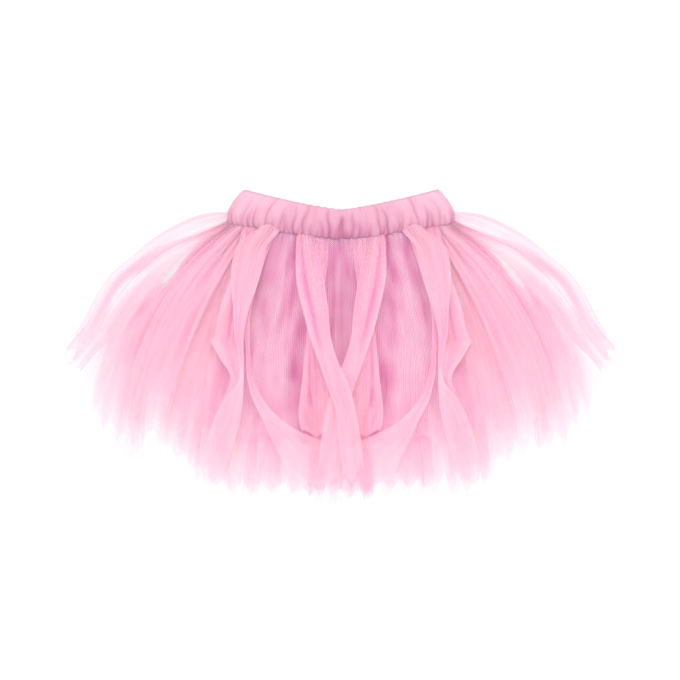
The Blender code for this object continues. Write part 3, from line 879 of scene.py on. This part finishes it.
# The creases of each, from the middle outwards, with painted shade in the troughs and a painted highlight on
# the ridges.
SIDE_CREASES = [
    [
        # place  drift  from   to     deep  wide
        (0.12,   0.13,  0.30,  1.00,  1.2,  0.08),
        (0.42,   0.10,  0.35,  0.90,  0.5,  0.04),
        (0.80,   0.05,  0.25,  1.00,  -0.9, 0.14),
    ], [
        (0.04,   0.00,  0.40,  0.95,  -0.5, 0.06),
        (0.18,   0.02,  0.45,  0.95,  0.5,  0.03),
        (0.62,  -0.10,  0.15,  0.60,  0.4,  0.04),
        (0.36,   0.04,  0.30,  0.85,  0.5,  0.03),
        (0.56,   0.03,  0.45,  0.90,  0.6,  0.03),
        (0.80,   0.05,  0.40,  0.90,  0.5,  0.04),
    ], [
        (0.30,   0.10,  0.10,  0.55,  0.5,  0.06),
        (0.12,   0.02,  0.40,  0.85,  0.6,  0.04),
        (0.55,   0.05,  0.25,  0.85,  0.5,  0.04),
        (0.78,   0.02,  0.35,  0.80,  0.6,  0.03),
    ],
]
SIDE_STRIPS = [
    # at the seam   at the hem      length  deeper  layer        creases
    ((0.42, 0.57),  (0.37, 0.62),   1.03,   0.05,   "side_low",  SIDE_CREASES[0]),
    ((0.50, 0.69),  (0.585, 0.73),  1.04,   0.00,   "side_high", SIDE_CREASES[1]),
    ((0.68, 0.84),  (0.65, 0.86),   1.07,   0.00,   "side_low",  SIDE_CREASES[2]),
]
for side, word in ((-1, "left"), (1, "right")):
    for n, (at_seam, at_hem, longest, tone, layer, creases) in enumerate(SIDE_STRIPS):
        edges = [tuple(side * line for line in pair) for pair in (at_seam, at_hem)]
        piece = strip_net(
            f"side_net_{n + 1}_{word}", layer=layer, seed=700 + 10 * n, columns=36, rows=48, longest=longest,
            tips=5, depth=0.18, fade=0.96, plies=3, curl=2.5, width=46.0, tone=tone, creases=creases,
            strong=0.5, lift=1.0, edge=0.0, flip=side < 0, **fanned(*edges))
        dress(piece, f"side_strip_{n + 1}_{word}", side_net_finish)

# ================================================================ shaped strips of the front and sides
# The strips that lie on top. Each was pulled into its own shape when the skirt was laid out: falls, points, a
# crossing pair in the middle and wide sheer wings at the sides. One row a section, from the seam to the tip.
FALL = [
    # inner x, y      outer x, y
    (62,  None,   85,  None),
    (74,    98,  102,   104),
    (77,    82,  109,    85),
    (83,    60,  110,    62),
    (91,    36,  107,    38),
    (96,    10,  105,    10),
    (96,   -14,  101,   -14),
    (96,   -36,  102,   -36),
    (98,   -60,  118,   -56),
    (104,  -88,  131,   -86),
    (114, -118,  139,  -120),
    (124, -146,  134,  -149),
]
ARROW = [
    (88,  None,  100,  None),
    (90,    82,  107,    84),
    (96,    60,  112,    62),
    (98,    40,  119,    42),
    (99,    24,  123,    25),
    (100,   10,  127,    10),
    (100,    4,  131,     4),
    (100,   -2,  127,    -2),
    (99,   -14,  120,   -14),
    (98,   -33,  110,   -31),
    (97,   -52,  116,   -50),
    (103,  -84,  130,   -82),
    (112, -114,  143,  -108),
    (124, -134,  150,  -124),
]
CROSS = [
    (28,  None,   45,  None),
    (22,    86,   46,    88),
    (17,    62,   45,    63),
    (13,    36,   39,    37),
    (10,     8,   31,     8),
    (3,    -16,   22,   -18),
    (-7,   -38,   14,   -42),
    (-14,  -62,    6,   -66),
    (-20,  -98,    3,  -102),
    (-24, -140,   -6,  -154),
]
SWEEP = [
    (66,  None,   80,  None),
    (76,    84,   92,    86),
    (84,    57,   98,    58),
    (90,    28,   98,    28),
    (90,    -4,   95,    -4),
    (87,   -28,   94,   -28),
    (78,   -53,   89,   -52),
    (61,   -73,   78,   -75),
    (41,   -86,   70,   -94),
    (14,   -98,   62,  -112),
    (-4,  -113,   57,  -129),
    (-8,  -136,   50,  -148),
]
LOOP = [
    (12,  None,   26,  None),
    (14,    76,   28,    76),
    (18,    48,   32,    48),
    (22,    20,   34,    20),
    (21,    -2,   36,    -2),
    (18,   -18,   38,   -18),
    (14,   -36,   40,   -36),
    (11,   -56,   43,   -56),
    (10,   -76,   43,   -76),
    (16,   -98,   36,   -95),
]
WING = [
    (113.8, 118, 113.8, 126),
    (138,   103,  141,  112),
    (161,    82,  172,  103),
    (180,    60,  203,   88),
    (197,    41,  228,   71),
    (213,    25,  241,   46),
    (230,     4,  251,   25),
    (246,   -12,  264,    9),
    (262,   -31,  278,   -7),
]
CREST = [
    (113.8, 123, 113.8, 134),
    (134,   114,  137,  131),
    (157,   102,  161,  121),
    (177,    91,  186,  105),
    (195,    75,  207,   87),
    (212,    56,  226,   71),
    (227,    36,  240,   51),
    (240,    14,  253,   26),
    (253,    -8,  266,    7),
]


def shaped_plan(sections, side):
    """The plan of a strip through its sections, for side 1 (right) or -1 (left)."""
    placed = []
    for n, (ax, ay, bx, by) in enumerate(sections):
        if ay is None:
            ay, by = seam_y(ax) - SEAM_GAP, seam_y(bx) - SEAM_GAP
        placed.append((n / (len(sections) - 1), ax, ay, bx, by))

    def plan(u, v):
        ax, ay, bx, by = table_curve(placed, np.clip(v, 0, 1))
        return side * mix(ax, bx, u), mix(ay, by, u)
    return plan


TOP_LIGHT = (0.945, 0.60, 0.70)
TOP_DEEP = (0.80, 0.33, 0.54)
top_net_finish = net_finish("top_net", TOP_LIGHT, TOP_DEEP, hole=0.2, thread=0.8, mottle=0.35, streaky=0.3)
SHEER_LIGHT = (0.96, 0.50, 0.62)
SHEER_DEEP = (0.62, 0.36, 0.46)
sheer_net_finish = net_finish("sheer_net", SHEER_LIGHT, SHEER_DEEP, hole=0.14, thread=0.6,
                              uneven=(0.007, 0.2), patchy=3.4)

# Creases: place, drift, from, to, deep, wide. A negative depth is a ridge. Troughs get painted shade and
# ridges a painted highlight.
FALL_CREASES = [
    (0.50, 0.00, 0.24, 0.62, 0.5, 0.07),
    (0.76, 0.06, 0.16, 0.58, 0.5, 0.06),
    (0.96, 0.00, 0.10, 0.60, -0.8, 0.09),
    (0.20, 0.00, 0.05, 0.40, 0.3, 0.10),
    (0.50, 0.00, 0.58, 0.72, -0.8, 0.50),
    (0.30, 0.10, 0.62, 1.00, 0.7, 0.10),
]
ARROW_CREASES = [
    (0.42, 0.00, 0.20, 0.50, 1.2, 0.06),
    (0.20, 0.00, 0.22, 0.58, 1.0, 0.05),
    (0.72, 0.10, 0.24, 0.46, 0.7, 0.05),
    (0.55, 0.10, 0.60, 1.00, 0.7, 0.12),
]
CROSS_CREASES = [
    (0.68, -0.08, 0.04, 0.56, 2.2, 0.11),
    (0.95, 0.00, 0.10, 0.75, -0.7, 0.10),
    (0.45, 0.10, 0.60, 0.98, 0.6, 0.10),
    (0.04, 0.00, 0.00, 0.45, 0.6, 0.08),
    (0.50, 0.00, 0.62, 0.90, 0.5, 0.35),
]
SWEEP_CREASES = [
    (0.88, 0.00, 0.35, 0.75, -0.7, 0.14),
    (0.12, 0.00, 0.35, 0.62, 0.8, 0.10),
    (0.45, 0.10, 0.70, 1.00, 0.5, 0.10),
]
LOOP_CREASES = [
    (0.86, 0.00, 0.40, 1.05, -0.8, 0.12),
    (0.62, 0.05, 0.42, 0.90, 1.4, 0.07),
    (0.36, 0.06, 0.46, 0.96, 1.0, 0.06),
    (0.64, -0.08, 0.74, 0.88, 2.2, 0.06),
    (0.88, -0.22, 0.84, 0.99, 1.6, 0.05),
    (0.54, -0.26, 0.84, 0.98, 1.4, 0.05),
]
WING_GAPS = [
    (0.00, 0.00, 0.16, 0.42, 1.1, 0.06),
    (0.56, 0.00, 0.42, 0.68, 1.5, 0.08),
    (0.50, 0.00, 0.02, 0.38, 0.70, 0.60),
]
SHAPED = [
    # name      sections  layer         plies  folds  width  flat            area    finish
    ("fall",    FALL,     "front_high", 2,     2,     26,    (0.050, 0.26),  0.0125, top_net_finish),
    ("arrow",   ARROW,    "front_low",  2,     2,     24,    (0.050, 0.25),  0.0120, top_net_finish),
    ("cross",   CROSS,    "front_high", 2,     2,     24,    (0.050, 0.26),  0.0125, top_net_finish),
    ("sweep",   SWEEP,    "side_high",  2,     2,     24,    (0.050, 0.26),  0.0125, top_net_finish),
    ("loop",    LOOP,     "side_high",  2,     2,     14,    (0.036, 0.20),  0.0068, top_net_finish),
    ("wing",    WING,     "front_low",  2,     3,     28,    (0.060, 0.22),  0.0128, sheer_net_finish),
    ("crest",   CREST,    "front_high", 1,     2,     16,    (0.018, 0.21),  0.0036, sheer_net_finish),
]
# Each one's creases and gaps, how strong its folds are, how close its net is, how it thins out, how much
# deeper it looks, how much deeper its edges look (lighter where negative, a painted highlight), how much
# painted shade lies in the troughs of its gathers at the seam, how far it stands up over the seam, and its cut
# end: how long, how many points and how deep.
SHAPED_NET = {
    #         creases        gaps       folds  close  fade  deeper  edge  gathers  up   length  tips  depth
    "fall":  (FALL_CREASES,  (),        0.4,   1.0,   0.85, -0.12, -0.5,  0.15,    4.5, 1.00,   1,    0.06),
    "arrow": (ARROW_CREASES, (),        0.4,   1.1,   0.85,  0.00, -0.5,  0.36,    0.0, 1.00,   1,    0.06),
    "cross": (CROSS_CREASES, (),        0.3,   1.0,   0.20,  0.00, -0.5,  0.30,    0.0, 1.00,   1,    0.06),
    "sweep": (SWEEP_CREASES, (),        0.3,   1.0,   0.40,  0.00, -0.5,  0.30,    0.0, 1.00,   1,    0.06),
    "loop":  (LOOP_CREASES,  (),        0.3,   1.1,   0.10,  0.35, -0.2,  0.30,    0.0, 1.00,   1,    0.06),
    "wing":  ((),            WING_GAPS, 0.6,   1.2,   0.20,  0.00,  1.0,  1.40,    0.0, 1.02,   3,    0.08),
    "crest": ((),            (),        0.6,   2.2,   0.60,  0.00,  1.4,  1.40,    0.0, 1.00,   1,    0.06),
}
for side, word in ((-1, "left"), (1, "right")):
    for n, (name, sections, layer, plies, folds, width, flat, area, finish) in enumerate(SHAPED):
        creases, gaps, strong, sheer, fade, tone, edge, gather_shade, puffed, *cut_end = SHAPED_NET[name]
        longest, tips, depth = cut_end
        if name == "cross" and side > 0:
            layer = "front_low"
        piece = strip_net(
            f"{name}_net_{word}", shaped_plan(sections, side), layer, 900 + 10 * n, columns=26, rows=72,
            longest=longest, tips=tips, depth=depth, fade=fade, plies=plies, folds=folds, gap=0.9,
            width=width, tone=tone, sheer=sheer, creases=creases, gaps=gaps, strong=strong, edge=edge,
            gather_shade=gather_shade, puffed=puffed, flip=side < 0)
        dress(piece, f"{name}_strip_{word}", finish)
